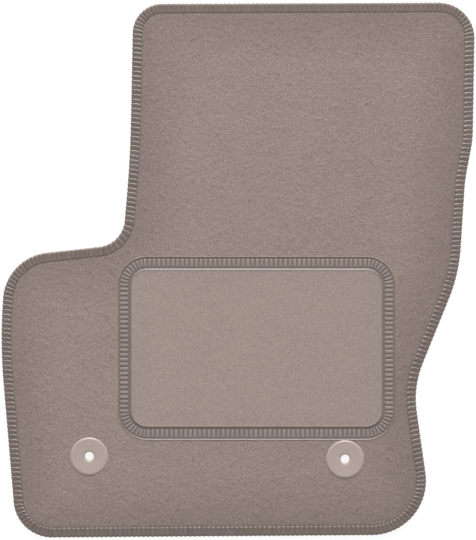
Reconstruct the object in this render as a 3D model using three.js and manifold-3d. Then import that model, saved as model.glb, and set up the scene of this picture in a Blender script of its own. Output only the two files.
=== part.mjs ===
// Driver's floor mat for a left-hand-drive car: velour carpet on a heavy, rubber-backed base,
// with an overlocked edge, a sewn-on heel pad and two round fixings for studs on the vehicle's floor.
//
// Millimetres. +X is towards the transmission tunnel, +Y towards the pedals, +Z up.
// The origin is the bottom centre of the mat's bounding box, so the mat lies on the plane z = 0.

import * as THREE from 'three';
import { mergeVertices } from 'three/addons/utils/BufferGeometryUtils.js';
import Module from 'manifold-3d';

const wasm = await Module();
wasm.setup();

// ---------------------------------------------------------------------------------------------
// Driving dimensions
// ---------------------------------------------------------------------------------------------

// Corners of the mat's outline before they are rounded: [x, y, rounding radius].
const OUTLINE_CORNERS = [
  [-138.5, 348.5, 39],   // pedal end, beside the footrest
  [-142.5, 146, 1600],   // the side beside the footrest bows a little
  [-152.5, 33, 38],      // inner corner of the footrest notch
  [-306.5, 16, 65],      // shoulder in front of the footrest
  [-313, -100, 700],     // door side
  [-291.5, -352.5, 51],  // seat end, door side
  [257, -348.5, 72],     // seat end, tunnel side
  [229.5, -154, 123],    // waist round the tunnel
  [289.5, -6, 215],      // the tunnel side widens again
  [297.5, 118, 220],
  [307.5, 170, 150],
  [310.5, 350.5, 47],    // pedal end, tunnel side
];
const ARC_STEP = 9;         // degrees of arc between two points of a rounded corner

// Heights of the layers, from the floor up.
const BACKING_TOP = 2.4;
const HEAVY_LAYER_TOP = 4.2;
const SCRIM_TOP = 4.8;
const PRESSED_PILE_TOP = 7.2;  // where yarn, pad or disc presses the pile flat
const PILE_TOP = 9.4;
const GAP = 0.3;               // play between neighbouring pieces

// Overlocked edge: two yarns meet half way down the mat's edge and reach inwards over its faces.
const YARN_REACH_TOP = 12.4;
const YARN_REACH_BOTTOM = 10;
const YARN_THICKNESS = 2.4;
const EDGE_CROWN = 8.9;        // highest point of the upper yarn
const EDGE_MEETING_HEIGHT = 4.6;
const LAYER_INSET = YARN_THICKNESS + GAP;

// Heel pad: the border's outer rectangle.
const HEEL_PAD = { x: 24.4, y: -102.8, width: 364, length: 240.5, cornerRadius: 38.5 };
const BORDER_WIDTH = 16.3;
const PAD_TONGUE_INSET = 6;    // the pad's thin rim ends under the border
const PAD_TONGUE_TOP = 8.0;
const PAD_TOP = 9.8;
const POCKET_FLOOR = 7.4;      // the pad lies on pile that is pressed down to here
const BOBBIN_WIDTH = 8.4;
const BOBBIN_INSET = 4;

// Fixings: a flanged barrel from above, a counter disc from below and a sprung ring between them.
const FIXINGS = [
  { name: 'left_fixing', x: -195.2, y: -244.5 },
  { name: 'right_fixing', x: 140.6, y: -248.1 },
];
const FLANGE_RADIUS = 25;
const BARREL_RADIUS = 9.5;
const STUD_HOLE_RADIUS = 6;
const LOWER_DISC_RADIUS = 21;
const COLLAR_RADIUS = 12;
const LOWER_DISC_THICKNESS = 1.3;
const LATHE_SEGMENTS = 32;

// ---------------------------------------------------------------------------------------------
// Outlines
// ---------------------------------------------------------------------------------------------

// Rounds each corner with an arc. Returns the loop's points, each with its inward normal,
// for corners given counterclockwise.
function roundedLoop(corners) {
  const loop = [];
  const count = corners.length;
  for (let i = 0; i < count; i += 1) {
    const corner = new THREE.Vector2(corners[i][0], corners[i][1]);
    const radius = corners[i][2];
    const before = corners[(i + count - 1) % count];
    const after = corners[(i + 1) % count];
    const arriving = corner.clone().sub(new THREE.Vector2(before[0], before[1])).normalize();
    const leaving = new THREE.Vector2(after[0], after[1]).sub(corner).normalize();
    const turn = Math.atan2(arriving.cross(leaving), arriving.dot(leaving));
    const side = Math.sign(turn);
    const tangent = radius * Math.tan(Math.abs(turn) / 2);
    const arcStart = corner.clone().addScaledVector(arriving, -tangent);
    const inwardAtStart = new THREE.Vector2(-arriving.y, arriving.x);
    const centre = arcStart.clone().addScaledVector(inwardAtStart, side * radius);
    const steps = Math.max(1, Math.ceil(Math.abs(THREE.MathUtils.radToDeg(turn)) / ARC_STEP));
    for (let step = 0; step <= steps; step += 1) {
      const inward = inwardAtStart.clone().rotateAround(new THREE.Vector2(), (turn * step) / steps);
      const point = centre.clone().addScaledVector(inward, -side * radius);
      loop.push({ point, inward });
    }
  }
  return loop;
}

// Moves a loop so that its bounding box is centred on the origin.
function centred(loop) {
  const box = new THREE.Box2().setFromPoints(loop.map((vertex) => vertex.point));
  const middle = box.getCenter(new THREE.Vector2());
  return loop.map((vertex) => ({ point: vertex.point.clone().sub(middle), inward: vertex.inward }));
}

// The loop's points, moved inwards.
function inset(loop, distance) {
  return loop.map((vertex) => vertex.point.clone().addScaledVector(vertex.inward, distance));
}

function rectangleCorners(pad) {
  const right = pad.x + pad.width / 2;
  const left = pad.x - pad.width / 2;
  const front = pad.y + pad.length / 2;
  const back = pad.y - pad.length / 2;
  return [
    [left, front, pad.cornerRadius],
    [left, back, pad.cornerRadius],
    [right, back, pad.cornerRadius],
    [right, front, pad.cornerRadius],
  ];
}

const matLoop = centred(roundedLoop(OUTLINE_CORNERS));
const padLoop = roundedLoop(rectangleCorners(HEEL_PAD));

// ---------------------------------------------------------------------------------------------
// Solids
// ---------------------------------------------------------------------------------------------

// A flat plate with the given outline between two heights.
function plate(outline, low, high) {
  const geometry = new THREE.ExtrudeGeometry(new THREE.Shape(outline), {
    depth: high - low,
    bevelEnabled: false,
  });
  return geometry.translate(0, 0, low);
}

// A solid cylinder on a fixing's axis.
function cylinder(fixing, radius, low, high) {
  const geometry = new THREE.CylinderGeometry(radius, radius, high - low, LATHE_SEGMENTS);
  geometry.rotateX(Math.PI / 2);
  return geometry.translate(fixing.x, fixing.y, (low + high) / 2);
}

// A ring that follows a loop. Its section is a closed list of [distance inwards, height].
function sweptRing(loop, section) {
  const positions = [];
  for (const vertex of loop) {
    for (const [distance, height] of section) {
      const point = vertex.point.clone().addScaledVector(vertex.inward, distance);
      positions.push(point.x, point.y, height);
    }
  }
  const indices = [];
  const sides = section.length;
  for (let i = 0; i < loop.length; i += 1) {
    const here = i * sides;
    const next = ((i + 1) % loop.length) * sides;
    for (let j = 0; j < sides; j += 1) {
      const k = (j + 1) % sides;
      indices.push(here + j, here + k, next + k);
      indices.push(here + j, next + k, next + j);
    }
  }
  const geometry = new THREE.BufferGeometry();
  geometry.setAttribute('position', new THREE.Float32BufferAttribute(positions, 3));
  geometry.setIndex(indices);
  return geometry;
}

// A ring turned about a fixing's axis. Its profile is a closed list of [radius, height],
// counterclockwise with the radius to the right.
function turnedRing(fixing, profile) {
  const points = [...profile, profile[0]].map(([radius, height]) => new THREE.Vector2(radius, height));
  const geometry = new THREE.LatheGeometry(points, LATHE_SEGMENTS);
  geometry.rotateX(Math.PI / 2);
  return geometry.translate(fixing.x, fixing.y, 0);
}

function solidOf(geometry) {
  const bare = geometry.clone();
  bare.deleteAttribute('normal');
  bare.deleteAttribute('uv');
  const merged = mergeVertices(bare, 1e-4);
  return new wasm.Manifold(new wasm.Mesh({
    numProp: 3,
    vertProperties: new Float32Array(merged.attributes.position.array),
    triVerts: new Uint32Array(merged.index.array),
  }));
}

function geometryOf(solid) {
  const mesh = solid.getMesh();
  const geometry = new THREE.BufferGeometry();
  geometry.setAttribute('position', new THREE.Float32BufferAttribute(mesh.vertProperties, 3));
  geometry.setIndex(Array.from(mesh.triVerts));
  return geometry;
}

// Joins the first list of geometries and cuts the second list away.
function joinAndCut(added, removed) {
  let solid = solidOf(added[0]);
  for (const geometry of added.slice(1)) {
    solid = solid.add(solidOf(geometry));
  }
  for (const geometry of removed) {
    solid = solid.subtract(solidOf(geometry));
  }
  return geometryOf(solid);
}

// Clearance holes for both fixings through a layer.
function fixingHoles(radius, low, high) {
  return FIXINGS.map((fixing) => cylinder(fixing, radius, low, high));
}

// ---------------------------------------------------------------------------------------------
// Mat layers
// ---------------------------------------------------------------------------------------------

// Rubber underside: stepped up at its rim for the yarn, with recesses for the lower discs and a
// channel for the heel pad's bobbin thread.
function antiSlipBacking() {
  const step = 1.3;
  const channelDepth = 1.2;
  const slack = 0.4;
  const channel = sweptRing(padLoop, [
    [BOBBIN_INSET - slack, -1],
    [BOBBIN_INSET + BOBBIN_WIDTH + slack, -1],
    [BOBBIN_INSET + BOBBIN_WIDTH + slack, channelDepth],
    [BOBBIN_INSET - slack, channelDepth],
  ]);
  return joinAndCut(
    [
      plate(inset(matLoop, LAYER_INSET), step, BACKING_TOP),
      plate(inset(matLoop, YARN_REACH_BOTTOM + GAP), 0, step),
    ],
    [
      ...fixingHoles(COLLAR_RADIUS + GAP, -1, BACKING_TOP + 1),
      ...fixingHoles(LOWER_DISC_RADIUS + GAP, -1, LOWER_DISC_THICKNESS + 0.2),
      channel,
    ],
  );
}

function innerLayer(low, high) {
  return joinAndCut(
    [plate(inset(matLoop, LAYER_INSET), low, high)],
    fixingHoles(COLLAR_RADIUS + GAP, low - 1, high + 1),
  );
}

// Velour pile: pressed flat at the rim, under the heel pad and under the upper discs.
function velourCarpet() {
  const pocket = plate(inset(padLoop, -GAP), POCKET_FLOOR, PILE_TOP + 1);
  return joinAndCut(
    [
      plate(inset(matLoop, LAYER_INSET), SCRIM_TOP, PRESSED_PILE_TOP),
      plate(inset(matLoop, YARN_REACH_TOP + GAP), PRESSED_PILE_TOP, PILE_TOP),
    ],
    [
      ...fixingHoles(COLLAR_RADIUS + GAP, SCRIM_TOP - 1, PILE_TOP + 1),
      ...fixingHoles(FLANGE_RADIUS + GAP, POCKET_FLOOR, PILE_TOP + 1),
      pocket,
    ],
  );
}

// ---------------------------------------------------------------------------------------------
// Overlocked edge
// ---------------------------------------------------------------------------------------------

// Yarn from the needle seam over the top face and half way down the edge.
function edgeUpperYarn() {
  const underside = PRESSED_PILE_TOP + 0.1;
  const bottom = EDGE_MEETING_HEIGHT + 0.1;
  return sweptRing(matLoop, [
    [YARN_REACH_TOP, underside],
    [YARN_REACH_TOP, 8.4],
    [YARN_REACH_TOP - 2, 8.8],
    [6, EDGE_CROWN],
    [2.6, 8.3],
    [0.6, 6.8],
    [0, bottom],
    [YARN_THICKNESS, bottom],
    [YARN_THICKNESS, underside],
  ]);
}

// Yarn from the edge round to the underside, where it lies level with the backing.
function edgeLowerYarn() {
  const top = EDGE_MEETING_HEIGHT - 0.1;
  const upperside = 1.2;
  return sweptRing(matLoop, [
    [0, top],
    [0.6, 2.3],
    [2.4, 0.6],
    [4.6, 0],
    [YARN_REACH_BOTTOM, 0],
    [YARN_REACH_BOTTOM, upperside],
    [YARN_THICKNESS, upperside],
    [YARN_THICKNESS, top],
  ]);
}

// Needle thread along the inner side of the upper yarn.
function edgeNeedleThread() {
  return sweptRing(matLoop, [
    [YARN_REACH_TOP - 0.1, 8.55],
    [YARN_REACH_TOP - 0.1, 9.15],
    [YARN_REACH_TOP - 1.7, 9.45],
    [YARN_REACH_TOP - 1.7, 8.95],
  ]);
}

// ---------------------------------------------------------------------------------------------
// Heel pad
// ---------------------------------------------------------------------------------------------

function heelPad() {
  return joinAndCut(
    [
      plate(inset(padLoop, PAD_TONGUE_INSET), POCKET_FLOOR, PAD_TONGUE_TOP),
      plate(inset(padLoop, BORDER_WIDTH + GAP), PAD_TONGUE_TOP, PAD_TOP),
    ],
    [],
  );
}

// Satin-stitched border: its yarn covers the pad's rim and the carpet beside it.
function heelPadBorder() {
  const overPile = POCKET_FLOOR + 0.1;
  const overTongue = PAD_TONGUE_TOP + 0.1;
  return sweptRing(padLoop, [
    [BORDER_WIDTH, overTongue],
    [BORDER_WIDTH, 8.3],
    [13.4, 8.9],
    [BORDER_WIDTH / 2, 9.3],
    [3, 8.9],
    [0.3, 8.0],
    [0.3, overPile],
    [PAD_TONGUE_INSET - GAP, overPile],
    [PAD_TONGUE_INSET - GAP, overTongue],
  ]);
}

// Bobbin thread of the same stitch, in the channel on the underside.
function heelPadBobbinThread() {
  const low = 0.4;
  const high = 1.0;
  return sweptRing(padLoop, [
    [BOBBIN_INSET, high],
    [BOBBIN_INSET, low],
    [BOBBIN_INSET + BOBBIN_WIDTH, low],
    [BOBBIN_INSET + BOBBIN_WIDTH, high],
  ]);
}

// ---------------------------------------------------------------------------------------------
// Fixings
// ---------------------------------------------------------------------------------------------

// Dished flange with a raised rim, and the barrel that passes down through the mat.
function upperDisc(fixing) {
  const barrelBottom = 2.6;
  return turnedRing(fixing, [
    [STUD_HOLE_RADIUS, barrelBottom],
    [BARREL_RADIUS, barrelBottom],
    [BARREL_RADIUS, POCKET_FLOOR + 0.1],
    [FLANGE_RADIUS - 0.8, POCKET_FLOOR + 0.1],
    [FLANGE_RADIUS, 8.2],
    [FLANGE_RADIUS, 9.6],
    [FLANGE_RADIUS - 0.8, 10.6],
    [FLANGE_RADIUS - 2, 10.9],
    [FLANGE_RADIUS - 3.4, 10.5],
    [8, 9.7],
    [6.8, 9.5],
    [STUD_HOLE_RADIUS, 8.8],
  ]);
}

// Counter disc in the backing, with the collar that grips the barrel from outside.
function lowerDisc(fixing) {
  const lipTop = 1.2;
  const collarTop = 6.6;
  return turnedRing(fixing, [
    [STUD_HOLE_RADIUS, 0],
    [LOWER_DISC_RADIUS - 0.5, 0],
    [LOWER_DISC_RADIUS, 0.5],
    [LOWER_DISC_RADIUS, LOWER_DISC_THICKNESS],
    [COLLAR_RADIUS, LOWER_DISC_THICKNESS],
    [COLLAR_RADIUS, collarTop],
    [BARREL_RADIUS + GAP, collarTop],
    [BARREL_RADIUS + GAP, lipTop],
    [STUD_HOLE_RADIUS, lipTop],
  ]);
}

// Sprung ring that grips the neck of the floor stud, held between barrel and lower disc.
function springRing(fixing) {
  return turnedRing(fixing, [
    [STUD_HOLE_RADIUS + 0.4, 1.5],
    [BARREL_RADIUS - 0.3, 1.5],
    [BARREL_RADIUS - 0.3, 2.3],
    [STUD_HOLE_RADIUS + 0.4, 2.3],
  ]);
}

// ---------------------------------------------------------------------------------------------
// Assembly
// ---------------------------------------------------------------------------------------------

const materials = {
  velour: { color: 0x978a83, roughness: 0.95, metalness: 0 },
  padTextile: { color: 0xa09389, roughness: 0.9, metalness: 0 },
  yarn: { color: 0x7d6f67, roughness: 0.8, metalness: 0 },
  borderYarn: { color: 0x8f817a, roughness: 0.75, metalness: 0 },
  scrim: { color: 0xc9c4bc, roughness: 0.9, metalness: 0 },
  heavyLayer: { color: 0x2d2b2a, roughness: 0.85, metalness: 0 },
  rubber: { color: 0x1e1d1d, roughness: 0.8, metalness: 0 },
  plastic: { color: 0xb2a49c, roughness: 0.4, metalness: 0 },
  darkPlastic: { color: 0x2a2928, roughness: 0.5, metalness: 0 },
  springSteel: { color: 0xb8b8ba, roughness: 0.3, metalness: 1 },
};

function named(name, geometry, material) {
  const mesh = new THREE.Mesh(geometry, new THREE.MeshStandardMaterial(material));
  mesh.name = name;
  return mesh;
}

const group = new THREE.Group();
group.add(named('velour_carpet', velourCarpet(), materials.velour));
group.add(named('primary_backing', innerLayer(HEAVY_LAYER_TOP, SCRIM_TOP), materials.scrim));
group.add(named('heavy_layer', innerLayer(BACKING_TOP, HEAVY_LAYER_TOP), materials.heavyLayer));
group.add(named('anti_slip_backing', antiSlipBacking(), materials.rubber));
group.add(named('edge_upper_yarn', edgeUpperYarn(), materials.yarn));
group.add(named('edge_lower_yarn', edgeLowerYarn(), materials.yarn));
group.add(named('edge_needle_thread', edgeNeedleThread(), materials.borderYarn));
group.add(named('heel_pad', heelPad(), materials.padTextile));
group.add(named('heel_pad_border', heelPadBorder(), materials.borderYarn));
group.add(named('heel_pad_bobbin_thread', heelPadBobbinThread(), materials.borderYarn));
for (const fixing of FIXINGS) {
  group.add(named(`${fixing.name}_upper_disc`, upperDisc(fixing), materials.plastic));
  group.add(named(`${fixing.name}_lower_disc`, lowerDisc(fixing), materials.darkPlastic));
  group.add(named(`${fixing.name}_spring_ring`, springRing(fixing), materials.springSteel));
}

export default group;
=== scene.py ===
import math

import bpy
import numpy as np
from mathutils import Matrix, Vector, kdtree
from mathutils.geometry import delaunay_2d_cdt


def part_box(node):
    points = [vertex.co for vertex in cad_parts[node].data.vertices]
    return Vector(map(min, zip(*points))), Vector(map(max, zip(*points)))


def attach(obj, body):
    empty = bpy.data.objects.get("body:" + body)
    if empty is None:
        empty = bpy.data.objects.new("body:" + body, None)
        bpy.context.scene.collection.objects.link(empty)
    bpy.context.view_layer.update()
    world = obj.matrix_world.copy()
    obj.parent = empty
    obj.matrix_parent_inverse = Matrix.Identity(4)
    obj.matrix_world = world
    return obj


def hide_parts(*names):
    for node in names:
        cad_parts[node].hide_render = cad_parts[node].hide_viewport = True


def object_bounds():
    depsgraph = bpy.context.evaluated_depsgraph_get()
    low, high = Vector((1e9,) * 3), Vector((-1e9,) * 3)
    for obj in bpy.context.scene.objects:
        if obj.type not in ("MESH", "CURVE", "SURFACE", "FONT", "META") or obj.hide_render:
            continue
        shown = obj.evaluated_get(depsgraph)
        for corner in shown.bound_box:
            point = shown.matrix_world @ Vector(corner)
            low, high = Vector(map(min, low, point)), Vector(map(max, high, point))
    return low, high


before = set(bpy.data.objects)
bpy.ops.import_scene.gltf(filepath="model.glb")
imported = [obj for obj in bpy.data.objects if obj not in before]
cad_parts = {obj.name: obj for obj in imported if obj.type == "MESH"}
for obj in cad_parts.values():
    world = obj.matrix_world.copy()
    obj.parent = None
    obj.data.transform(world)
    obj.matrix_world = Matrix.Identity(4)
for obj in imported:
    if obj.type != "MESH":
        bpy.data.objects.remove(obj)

# Driver's floor mat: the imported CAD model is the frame, and each soft piece is rebuilt here as what
# it is: a velour pile, a heel pad, overlock yarn wound turn by turn, a satin-stitched border, a
# nubbed rubber underside and turned fixings. Lengths are millimetres until make_piece; the camera,
# floor and light are in metres.

cad_low, cad_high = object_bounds()
rng = np.random.default_rng(20)
MM = 0.001


# ---- Driving dimensions ----

# Corners of the mat's outline before they are rounded: x, y, rounding radius.
OUTLINE_CORNERS = [
    (-138.5, 348.5, 39),
    (-142.5, 146, 1600),
    (-152.5, 33, 38),
    (-306.5, 16, 65),
    (-313, -100, 700),
    (-291.5, -352.5, 51),
    (257, -348.5, 72),
    (229.5, -154, 123),
    (289.5, -6, 215),
    (297.5, 118, 220),
    (307.5, 170, 150),
    (310.5, 350.5, 47),
]


def node_box(node):
    """Lowest and highest corner of a CAD node, in millimetres."""
    low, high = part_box(node)
    return np.array(low) / MM, np.array(high) / MM


mat_low, mat_high = node_box("edge_upper_yarn")
border_low, border_high = node_box("heel_pad_border")
pad_low, pad_high = node_box("heel_pad")
pile_low, pile_high = node_box("velour_carpet")
_, backing_high = node_box("anti_slip_backing")

# The carpet's pile.
PILE_TOP = pile_high[2] - 0.2
PRESSED_PILE = 7.4          # its height where yarn, pad or disc presses it flat
PRESSED_LEAST = 7.1         # and the least that is left where two of them meet
PILE_STEP = 1.95            # spacing of the pile's points
PILE_RIM_STEP = 2.1         # spacing of the points in the rings beside its slopes
PILE_BEAD = 0.4             # the carpet bulges this much beside the heel pad's border
BEAD_TURN = 0.2             # and this much more, or less, where the border faces +Y, or -Y
EDGE_SAG = 0.3              # the overlock pulls the pile down this much, over a wide stretch
EDGE_TUCK = 0.15            # and this much more close to the yarn
EDGE_SHADE_REACH = 68           # painted shade: the pile's colour darkens slowly over this distance towards the overlock
EDGE_SHADE = 0.81         # down to this share of its colour
SIDE_SHADE = 0.03           # how much it darkens from the middle to the tunnel side
HALF_WIDTH = 300            # of the mat, for that shade

# The overlock yarns round the mat's edge.
LAYER_INSET = 2.7           # where the mat's layers end, behind the edge yarn
BAND = 13.0                 # how far the overlock reaches in over the pile
EDGE_PITCH = 6.12           # from one overlock turn to the next
TURN_HEIGHT = 0.7           # how far a turn swells above the seam
TURN_LEAN = 0.28            # how far its crest is pushed sideways, as a share of its width
LEAN_FADE = (8.5, 11)       # the crest straightens up between these distances from the edge
SWELL_END = 11.3            # where the turn's inner end starts to slope down
END_BULB = 0.6              # how much higher the turn is just before that, as a share

# The heel pad and its border.
BORDER_CORNER = 38.5        # corner radius of the border
BORDER_WIDTH = 16.6
BORDER_PITCH = 6.13         # from one rib to the next
RIB_START = 3.1             # from the border's outside to the satin ribs
RIB_LENGTH = 10.3
RIB_SHARE = 0.66            # a rib's width as a share of the pitch
RIB_BASE = 8.92             # height of the line that the ribs stand on
UNDERLAY_PITCH = 0.8        # thickness of the underlay's threads
CHANNEL = 8.8               # floor of the channels beside the ribs
LIP_RISE = 0.3              # the underlay's lips rise about this far over carpet and panel


# ---- Loops ----

def unit(vectors):
    return vectors / np.linalg.norm(vectors, axis=-1, keepdims=True)


def rounded_loop(corners, step):
    """Points and inward normals round a counterclockwise polygon with rounded corners."""
    points, normals = [], []
    count = len(corners)
    for i in range(count):
        corner = np.array(corners[i][:2], float)
        radius = corners[i][2]
        arriving = unit(corner - np.array(corners[i - 1][:2], float))
        leaving = unit(np.array(corners[(i + 1) % count][:2], float) - corner)
        turn = math.atan2(arriving[0] * leaving[1] - arriving[1] * leaving[0], arriving @ leaving)
        side = math.copysign(1, turn)
        start = corner - arriving * radius * math.tan(abs(turn) / 2)
        inward = np.array([-arriving[1], arriving[0]])
        centre = start + inward * side * radius
        steps = max(1, math.ceil(abs(turn) * radius / step))
        for angle in np.linspace(0, turn, steps + 1):
            cos, sin = math.cos(angle), math.sin(angle)
            normal = np.array([cos * inward[0] - sin * inward[1], sin * inward[0] + cos * inward[1]])
            points.append(centre - normal * side * radius)
            normals.append(normal)
    return np.array(points), np.array(normals)


class Loop:
    """A closed outline that can be read at any distance along it."""

    def __init__(self, corners, step=1.0):
        points, normals = rounded_loop(corners, step)
        self.points = np.vstack([points, points[:1]])
        self.normals = np.vstack([normals, normals[:1]])
        spans = np.linalg.norm(np.diff(self.points, axis=0), axis=1)
        self.lengths = np.concatenate([[0], np.cumsum(spans)])
        self.length = self.lengths[-1]

    def read(self, table, distance):
        wrapped = np.mod(distance, self.length)
        columns = [np.interp(wrapped, self.lengths, table[:, i]) for i in range(2)]
        return np.stack(columns, axis=-1)

    def inward(self, distance):
        return unit(self.read(self.normals, distance))

    def at(self, distance, inset=0.0):
        inset = np.asarray(inset, float)[..., None]
        return self.read(self.points, distance) + self.inward(distance) * inset

    def ring(self, inset, spacing):
        """Evenly spaced points at that inset."""
        count = int(round(self.length / spacing))
        return self.at(np.arange(count) * self.length / count, np.full(count, float(inset)))


def box_corners(low, high, radius):
    return [
        (low[0], high[1], radius),
        (low[0], low[1], radius),
        (high[0], low[1], radius),
        (high[0], high[1], radius),
    ]


mat = Loop(OUTLINE_CORNERS)
mat.points += (mat_low[:2] + mat_high[:2]) / 2 - (mat.points.min(0) + mat.points.max(0)) / 2
BORDER_OUT = 0.3            # the CAD border lies this far inside the pocket's line
border_box = (border_low[:2] - BORDER_OUT, border_high[:2] + BORDER_OUT)
border = Loop(box_corners(*border_box, BORDER_CORNER))


def smooth(value, low, high):
    """0 below low, 1 above high, and a soft step between."""
    t = np.clip((value - low) / (high - low), 0, 1)
    return t * t * (3 - 2 * t)


def bell(value, centre, width):
    return np.exp(-(((value - centre) / width) ** 2))


mat_samples = mat.ring(0, 0.5)
mat_tree = kdtree.KDTree(len(mat_samples))
for index, sample in enumerate(mat_samples):
    mat_tree.insert((sample[0], sample[1], 0), index)
mat_tree.balance()


def edge_distance(xy):
    """How far each point lies from the mat's outline."""
    return np.array([mat_tree.find((x, y, 0))[2] for x, y in xy])


def inside_mat(xy, inset):
    """Which points lie at least that far inside the outline."""
    outline = mat.points[:-1]
    inside = np.zeros(len(xy), bool)
    ahead = np.roll(outline, -1, axis=0)
    for (x0, y0), (x1, y1) in zip(outline, ahead):
        if y0 == y1:
            continue
        crosses = (y0 > xy[:, 1]) != (y1 > xy[:, 1])
        inside ^= crosses & (xy[:, 0] < (x1 - x0) * (xy[:, 1] - y0) / (y1 - y0) + x0)
    inside[inside] = edge_distance(xy[inside]) > inset
    return inside


def border_distance(xy):
    """Signed distance to the border's outer line: positive outside it."""
    middle = (border_box[0] + border_box[1]) / 2
    half = (border_box[1] - border_box[0]) / 2 - BORDER_CORNER
    q = np.abs(xy - middle) - half
    outside = np.linalg.norm(np.maximum(q, 0), axis=1)
    return outside + np.minimum(q.max(axis=1), 0) - BORDER_CORNER


def border_facing(xy):
    """How far the way out of the border points along +Y, from -1 to 1."""
    middle = (border_box[0] + border_box[1]) / 2
    half = (border_box[1] - border_box[0]) / 2 - BORDER_CORNER - BORDER_WIDTH
    q = np.maximum(np.abs(xy - middle) - half, 0.01)
    return np.sign(xy[:, 1] - middle[1]) * q[:, 1] / np.linalg.norm(q, axis=1)


def hash_noise(xy, size, seed):
    """Smooth noise from -1 to 1 with features of about that size."""
    cells = xy / size + 1000.0    # every cell number is positive
    base = np.floor(cells).astype(np.int64)
    part = cells - base
    part = part * part * (3 - 2 * part)

    def corner(dx, dy):
        """A value for a cell's corner, from its place and the seed, mixed by large odd factors."""
        mixed = (base[:, 0] + dx) * 374761393 + (base[:, 1] + dy) * 668265263 + seed * 974711
        mixed = (mixed ^ (mixed >> 13)) * 1274126177
        return ((mixed ^ (mixed >> 16)) & 0xFFFF) / 32767.5 - 1

    low = corner(0, 0) * (1 - part[:, 0]) + corner(1, 0) * part[:, 0]
    high = corner(0, 1) * (1 - part[:, 0]) + corner(1, 1) * part[:, 0]
    return low * (1 - part[:, 1]) + high * part[:, 1]


# ---- Mesh helpers ----

TURNED_SEGMENTS = 128       # round a turned ring
PROFILE_STEP = 0.35         # between points on the rounded corners of its profile
SAME_POINT = 1e-4           # points of a profile closer than this are one point
TRIANGULATION_TOLERANCE = 1e-6


def make_piece(name, verts, quads, tris, material, smooth_faces=True):
    """A mesh object from arrays in millimetres. It rides on the mat's only body."""
    verts = np.asarray(verts, float) * MM
    quads = np.asarray(quads, np.int32).reshape(-1, 4)
    tris = np.asarray(tris, np.int32).reshape(-1, 3)
    mesh = bpy.data.meshes.new(name)
    mesh.vertices.add(len(verts))
    mesh.vertices.foreach_set("co", verts.ravel())
    mesh.loops.add(quads.size + tris.size)
    mesh.loops.foreach_set("vertex_index", np.concatenate([quads.ravel(), tris.ravel()]))
    mesh.polygons.add(len(quads) + len(tris))
    starts = np.concatenate([np.arange(len(quads)) * 4, quads.size + np.arange(len(tris)) * 3])
    mesh.polygons.foreach_set("loop_start", starts)
    mesh.update(calc_edges=True)
    mesh.validate()
    mesh.polygons.foreach_set("use_smooth", [smooth_faces] * len(mesh.polygons))
    piece = bpy.data.objects.new(name, mesh)
    bpy.context.scene.collection.objects.link(piece)
    mesh.materials.append(material)
    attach(piece, "root")
    return piece


def store(piece, name, values):
    """A number for each vertex, which the piece's material can read."""
    attribute = piece.data.attributes.new(name, "FLOAT", "POINT")
    attribute.data.foreach_set("value", np.asarray(values, np.float32))


def triangulate(points, loops):
    """Triangles inside a closed loop, outside the convex holes after it, through loose points.

    The rings of vertices that it returns have the material on their left, so holes run clockwise.
    """
    flat, edges = [], []
    for loop in loops:
        first = len(flat)
        flat.extend(loop.tolist())
        count = len(loop)
        edges.extend((first + i, first + (i + 1) % count) for i in range(count))
    flat.extend(points.tolist())
    given = [Vector(p) for p in flat]
    inside_only = 1
    out = delaunay_2d_cdt(given, edges, [], inside_only, TRIANGULATION_TOLERANCE)
    new_verts, new_faces, sources = out[0], out[2], out[3]
    order = {old: new for new, olds in enumerate(sources) for old in olds}
    xy = np.array([tuple(v) for v in new_verts])
    rings, first = [], 0
    for loop in loops:
        rings.append(np.array([order[first + i] for i in range(len(loop))]))
        first += len(loop)
    faces = np.array(new_faces, np.int32)
    for hole in rings[1:]:
        faces = faces[~np.isin(faces, hole).all(axis=1)]
    return xy, faces, rings[:1] + [hole[::-1] for hole in rings[1:]]


def ring_walls(lower_rings, upper_rings):
    """Walls that face outwards, between matching rings of a lower and an upper face."""
    walls = []
    for low, high in zip(lower_rings, upper_rings):
        walls.append(np.column_stack([low, np.roll(low, -1), np.roll(high, -1), high]))
    return np.vstack(walls)


def layer(name, loops, points, top, bottom, material):
    """A closed sheet over one area: its top follows a height function, its bottom is flat."""
    xy, faces, rings = triangulate(points, loops)
    low_xy, low_faces, low_rings = triangulate(np.empty((0, 2)), loops)
    shift = len(xy)
    upper = np.column_stack([xy, top(xy)])
    lower = np.column_stack([low_xy, np.full(len(low_xy), bottom)])
    verts = np.vstack([upper, lower])
    tris = np.vstack([faces, low_faces[:, ::-1] + shift])
    walls = ring_walls([ring + shift for ring in low_rings], rings)
    return make_piece(name, verts, walls, tris, material), verts


def wrapped_quads(rows, columns):
    """Faces of a grid of points that closes on itself both ways."""
    here = np.arange(rows * columns).reshape(rows, columns)
    ahead, beside = np.roll(here, -1, axis=0), np.roll(here, -1, axis=1)
    return np.stack([here, ahead, np.roll(ahead, -1, axis=1), beside], axis=-1).reshape(-1, 4)


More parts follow.
